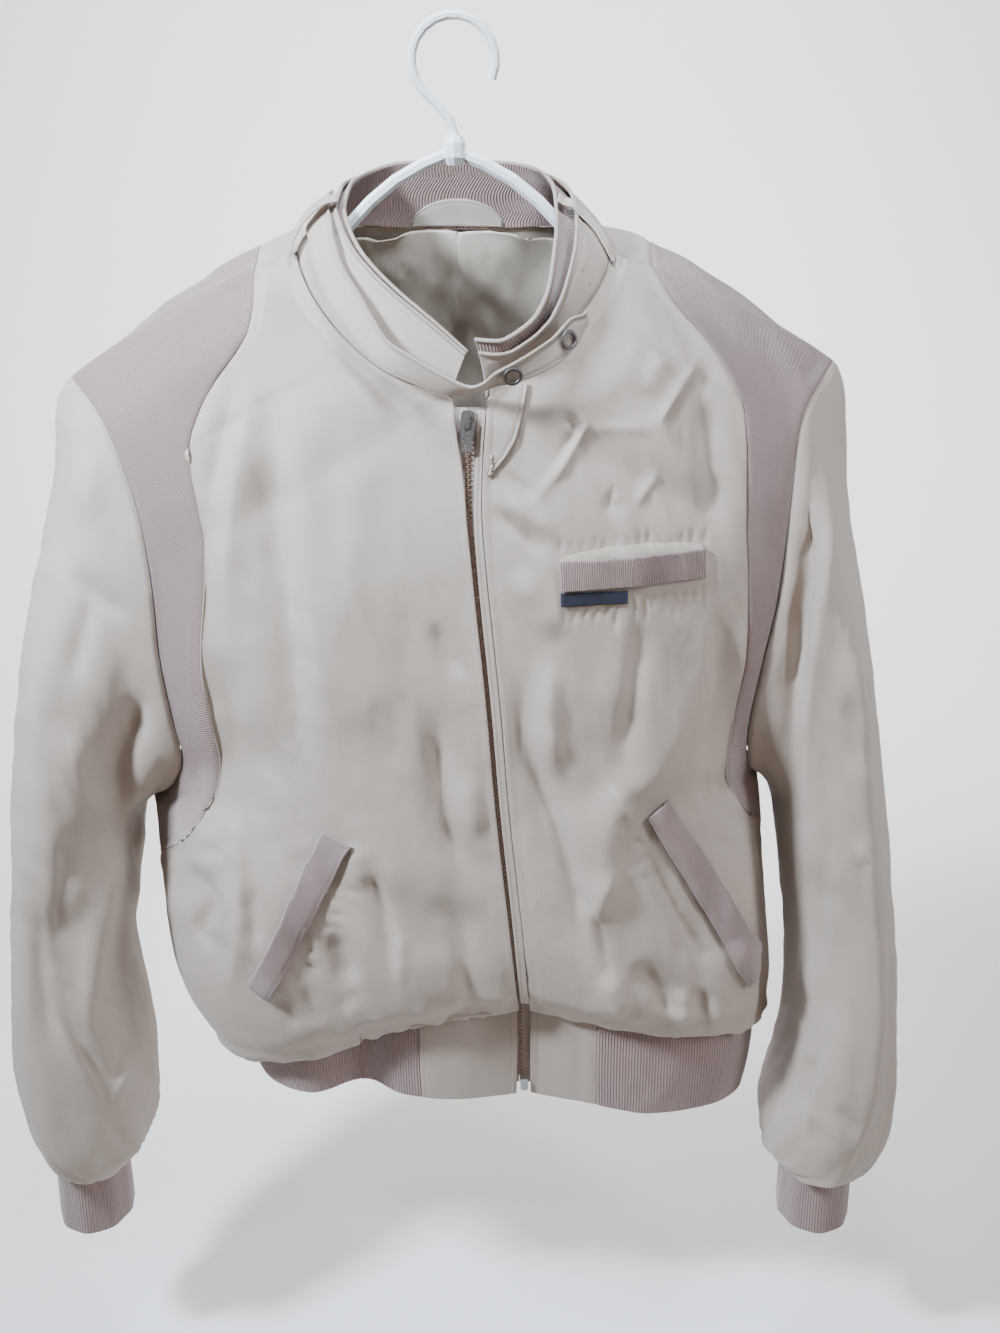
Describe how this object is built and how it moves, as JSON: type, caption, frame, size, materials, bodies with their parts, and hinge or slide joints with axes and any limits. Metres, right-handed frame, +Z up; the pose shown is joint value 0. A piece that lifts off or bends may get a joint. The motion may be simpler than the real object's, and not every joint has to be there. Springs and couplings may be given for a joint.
{
  "type": "bomber jacket on a clothes hanger",
  "caption": "Zipped bomber jacket with a strapped stand collar, rib shoulder insets, bloused sleeves and a rib waistband, hanging on a plastic hanger.",
  "frame": {"origin": "inside top of the hanger's hook, where it rests on a rail", "axes": "+Z up along the hanging jacket; -Y the jacket's front; +X the wearer's left, which is the right side of the front view"},
  "size_m": [0.6865, 0.2333, 0.8896],
  "materials": {
    "woven_cloth": "matt stone woven cotton blend",
    "rib_knit": "matt rib knit, slightly pinker than the cloth",
    "taffeta_lining": "smooth beige taffeta",
    "dark_tag": "near-black woven tape",
    "zip_tape": "woven zip tape with moulded teeth",
    "grey_metal": "grey brushed metal",
    "white_plastic": "white moulded plastic"
  },
  "bodies": {
    "jacket": {"front_right": "woven_cloth", "front_left": "woven_cloth", "back": "woven_cloth", "sleeve_right": "woven_cloth", "sleeve_left": "woven_cloth", "collar_outer": "woven_cloth", "throat_strap": "woven_cloth", "throat_tongue": "woven_cloth", "strap_loop_right": "woven_cloth", "strap_loop_left": "woven_cloth", "waistband_front_right": "woven_cloth", "waistband_front_left": "woven_cloth", "placket_strip_left": "woven_cloth", "inset_front_right": "rib_knit", "inset_front_left": "rib_knit", "inset_back_right": "rib_knit", "inset_back_left": "rib_knit", "cuff_right": "rib_knit", "cuff_left": "rib_knit", "collar_rib": "rib_knit", "waistband_rib": "rib_knit", "chest_pocket_welt": "rib_knit", "hand_pocket_right": "rib_knit", "hand_pocket_left": "rib_knit", "chest_tag": "dark_tag", "neck_label": "taffeta_lining", "lining_back": "taffeta_lining", "lining_front_right": "taffeta_lining", "lining_front_left": "taffeta_lining", "zip_tape_right": "zip_tape", "zip_tape_left": "zip_tape", "zip_slider": "grey_metal", "zip_bottom_box": "grey_metal", "snap_front": "grey_metal", "snap_side": "grey_metal", "hanger": "white_plastic"},
    "pull_tab": {"zip_pull": "grey_metal"}
  },
  "joints": [
    {"name": "pull_tab_swing", "type": "hinge", "parent": "jacket", "child": "pull_tab", "pos_m": [0.00937, -0.09648, -0.24064], "axis": [-0.9992, 0, 0.0408], "range_deg": [0, 120]}
  ]
}
